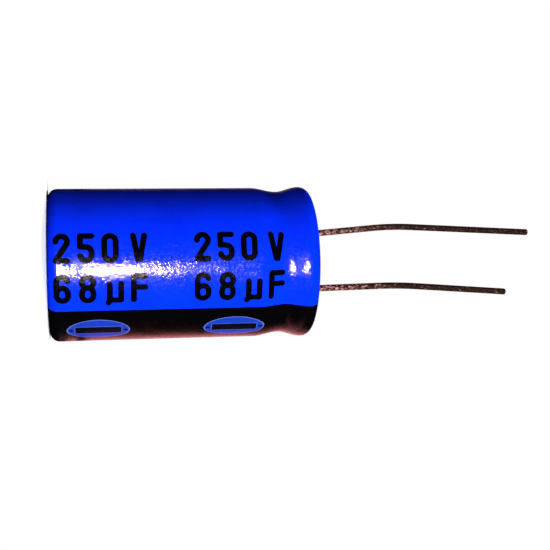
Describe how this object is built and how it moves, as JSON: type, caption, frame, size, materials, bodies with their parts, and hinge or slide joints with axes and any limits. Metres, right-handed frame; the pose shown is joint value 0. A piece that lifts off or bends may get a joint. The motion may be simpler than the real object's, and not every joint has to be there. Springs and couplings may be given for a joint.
{
  "type": "electrolytic capacitor",
  "caption": "Radial aluminium electrolytic capacitor: sleeved round can with a crimped neck, a rubber bung, a wound foil roll and wire leads, standing on its closed end.",
  "frame": {"origin": "middle of the closed end, on the surface the body stands on", "axes": "+Z along the can from the closed end to the leads, +X from the axis to the negative lead"},
  "size_m": [0.0184, 0.0184, 0.0619],
  "materials": {
    "sleeve_film": "glossy shrunk film, saturated blue",
    "ink_black": "black ink under the same gloss",
    "ink_pale": "paler blue ground of the ovals",
    "can_metal": "drawn, satin",
    "bung_rubber": "moulded, matt",
    "tinned_wire": "dull tinned wire, slightly mottled",
    "tab_metal": "pressed, satin",
    "anode": "etched foil, matt grey",
    "cathode": "etched foil, satin",
    "separator": "soaked kraft paper",
    "tape": "brown winding tape"
  },
  "bodies": {
    "root": {"sleeve": "sleeve_film", "negative_stripe": "ink_black", "minus_ovals": "ink_pale", "minus_bars": "ink_black", "rating_print": "ink_black", "can": "can_metal", "rubber_bung": "bung_rubber", "positive_lead": "tinned_wire", "negative_lead": "tinned_wire", "positive_tab": "tab_metal", "negative_tab": "tab_metal", "anode_foil": "anode", "cathode_foil": "cathode", "inner_paper": "separator", "outer_paper": "separator", "winding_tape": "tape"}
  },
  "joints": []
}
